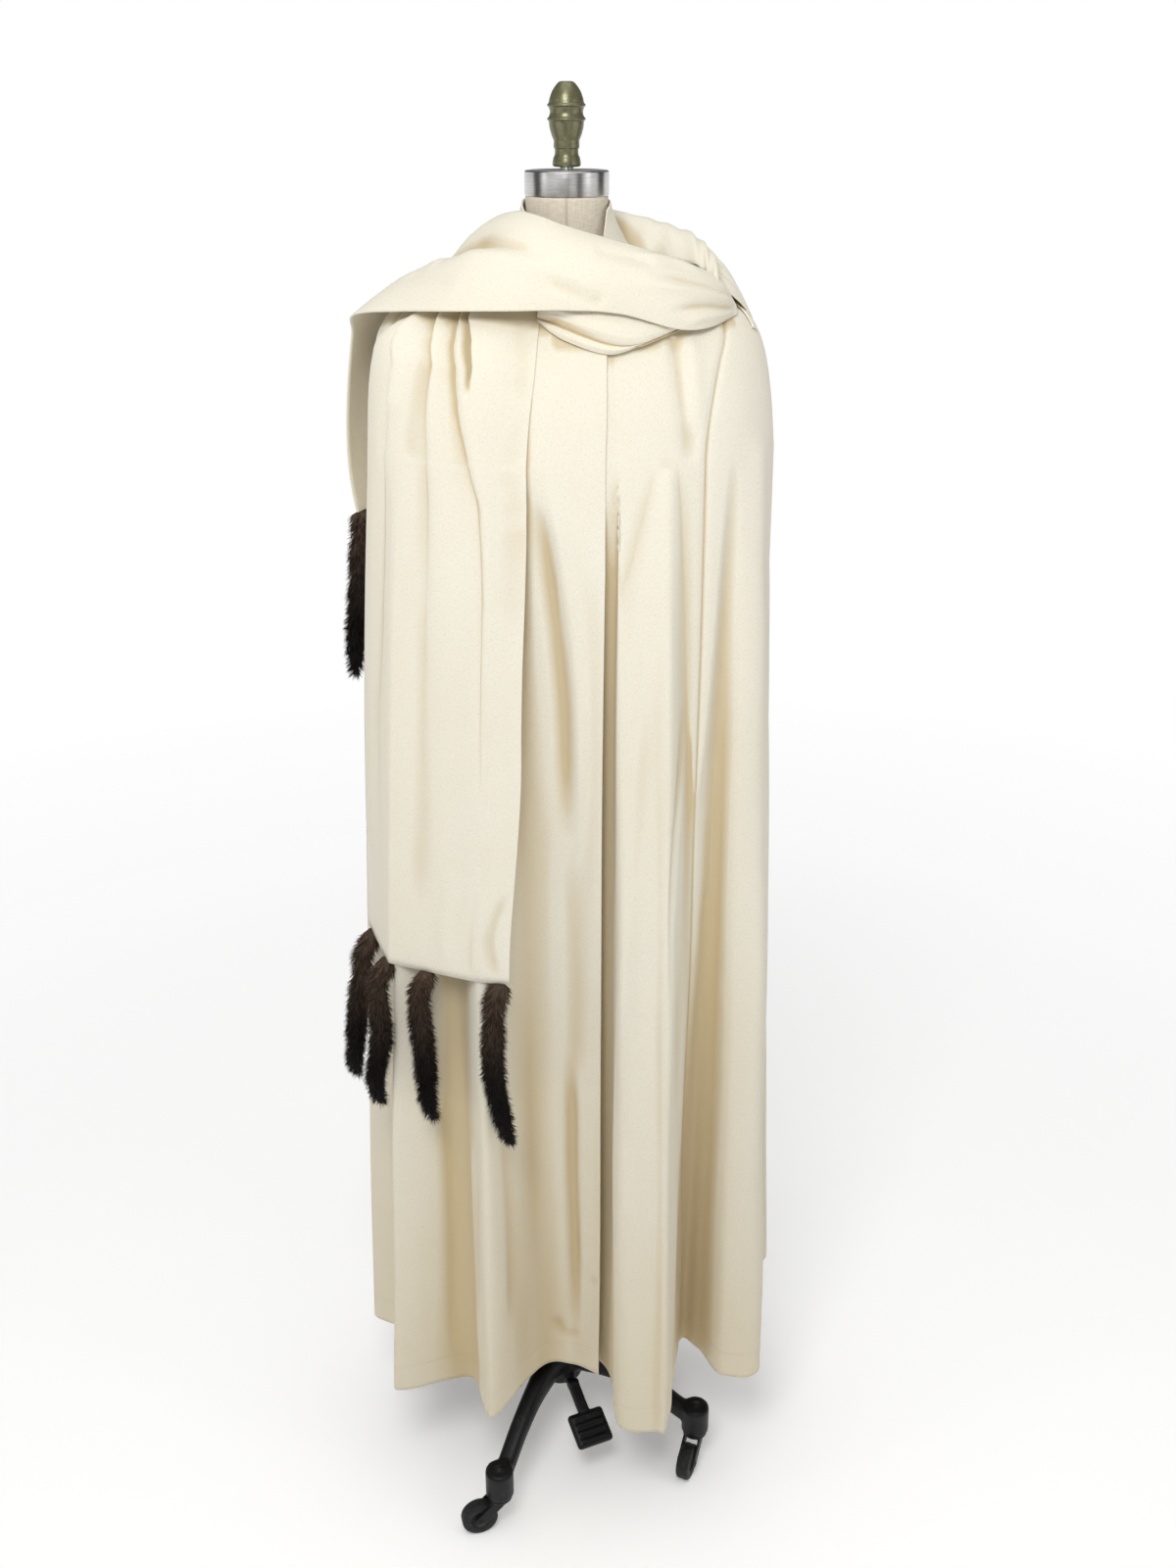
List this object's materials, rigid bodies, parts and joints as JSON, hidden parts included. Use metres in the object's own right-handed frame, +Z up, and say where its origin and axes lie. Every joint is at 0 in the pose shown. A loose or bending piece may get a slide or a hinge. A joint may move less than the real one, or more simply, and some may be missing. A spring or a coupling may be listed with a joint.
{
  "type": "cape with scarf on a dress form stand",
  "caption": "Full-length cloth cape with an attached scarf that ends in fur tails, worn on a limbless dress form with a turned finial, on a cast base with swivel casters.",
  "frame": {"origin": "on the floor under the middle of the part", "axes": "+Z up, the cape faces -Y, the wearer's left is +X"},
  "size_m": [0.5972, 0.4682, 1.8486],
  "materials": {
    "wool": "ivory wool crepe, matt",
    "fur": "dark brown fur",
    "linen": "natural linen cover",
    "steel": "brushed",
    "finial_paint": "turned wood in worn gold-green paint",
    "iron": "black paint, worn",
    "rubber": "matt"
  },
  "bodies": {
    "stand": {"stand_base": "iron", "stand_sleeve": "steel"},
    "form": {"form_pole": "steel", "form_torso": "linen", "form_neck_cap": "steel", "form_stud": "steel", "form_finial": "finial_paint", "cape_front_right": "wool", "cape_side_right": "wool", "cape_back": "wool", "cape_side_left": "wool", "cape_front_left": "wool", "scarf_front_fall": "wool", "scarf_neck": "wool", "scarf_cross": "wool", "scarf_under_drape": "wool", "scarf_back_fall": "wool", "collar": "wool", "shoulder_tab": "wool", "tail_front_1": "fur", "tail_front_2": "fur", "tail_front_3": "fur", "tail_front_4": "fur", "tail_back_1": "fur", "tail_back_2": "fur", "tail_back_3": "fur", "tail_back_4": "fur"},
    "pedal": {"stand_pedal": "iron"},
    "caster_1": {"caster_fork_1": "iron"},
    "wheel_1": {"caster_wheel_1": "rubber"},
    "caster_2": {"caster_fork_2": "iron"},
    "wheel_2": {"caster_wheel_2": "rubber"},
    "caster_3": {"caster_fork_3": "iron"},
    "wheel_3": {"caster_wheel_3": "rubber"},
    "caster_4": {"caster_fork_4": "iron"},
    "wheel_4": {"caster_wheel_4": "rubber"}
  },
  "joints": [
    {"name": "height_slide", "type": "slide", "parent": "stand", "child": "form", "axis": [0, 0, 1], "range_m": [0, 0.2]},
    {"name": "pedal_press", "type": "hinge", "parent": "stand", "child": "pedal", "pos_m": [0.00112, -0.05094, 0.106], "axis": [0.9135, 0.4067, 0], "range_deg": [0, 12], "stiffness_Nm_per_rad": 6, "springref_deg": -6.88},
    {"name": "caster_swivel_1", "type": "hinge", "parent": "stand", "child": "caster_1", "pos_m": [-0.09913, -0.20386, 0.059], "axis": [0, 0, 1], "continuous": true},
    {"name": "wheel_roll_1", "type": "hinge", "parent": "caster_1", "child": "wheel_1", "pos_m": [-0.12797, -0.21213, 0.025], "axis": [0.2756, -0.9613, 0], "continuous": true},
    {"name": "caster_swivel_2", "type": "hinge", "parent": "stand", "child": "caster_2", "pos_m": [0.17786, -0.08913, 0.059], "axis": [0, 0, 1], "continuous": true},
    {"name": "wheel_roll_2", "type": "hinge", "parent": "caster_2", "child": "wheel_2", "pos_m": [0.16566, -0.11653, 0.025], "axis": [0.9135, -0.4067, 0], "continuous": true},
    {"name": "caster_swivel_3", "type": "hinge", "parent": "stand", "child": "caster_3", "pos_m": [0.06313, 0.18786, 0.059], "axis": [0, 0, 1], "continuous": true},
    {"name": "wheel_roll_3", "type": "hinge", "parent": "caster_3", "child": "wheel_3", "pos_m": [0.07339, 0.21605, 0.025], "axis": [-0.9397, 0.342, 0], "continuous": true},
    {"name": "caster_swivel_4", "type": "hinge", "parent": "stand", "child": "caster_4", "pos_m": [-0.21386, 0.07313, 0.059], "axis": [0, 0, 1], "continuous": true},
    {"name": "wheel_roll_4", "type": "hinge", "parent": "caster_4", "child": "wheel_4", "pos_m": [-0.24341, 0.06792, 0.025], "axis": [0.1736, -0.9848, 0], "continuous": true}
  ]
}
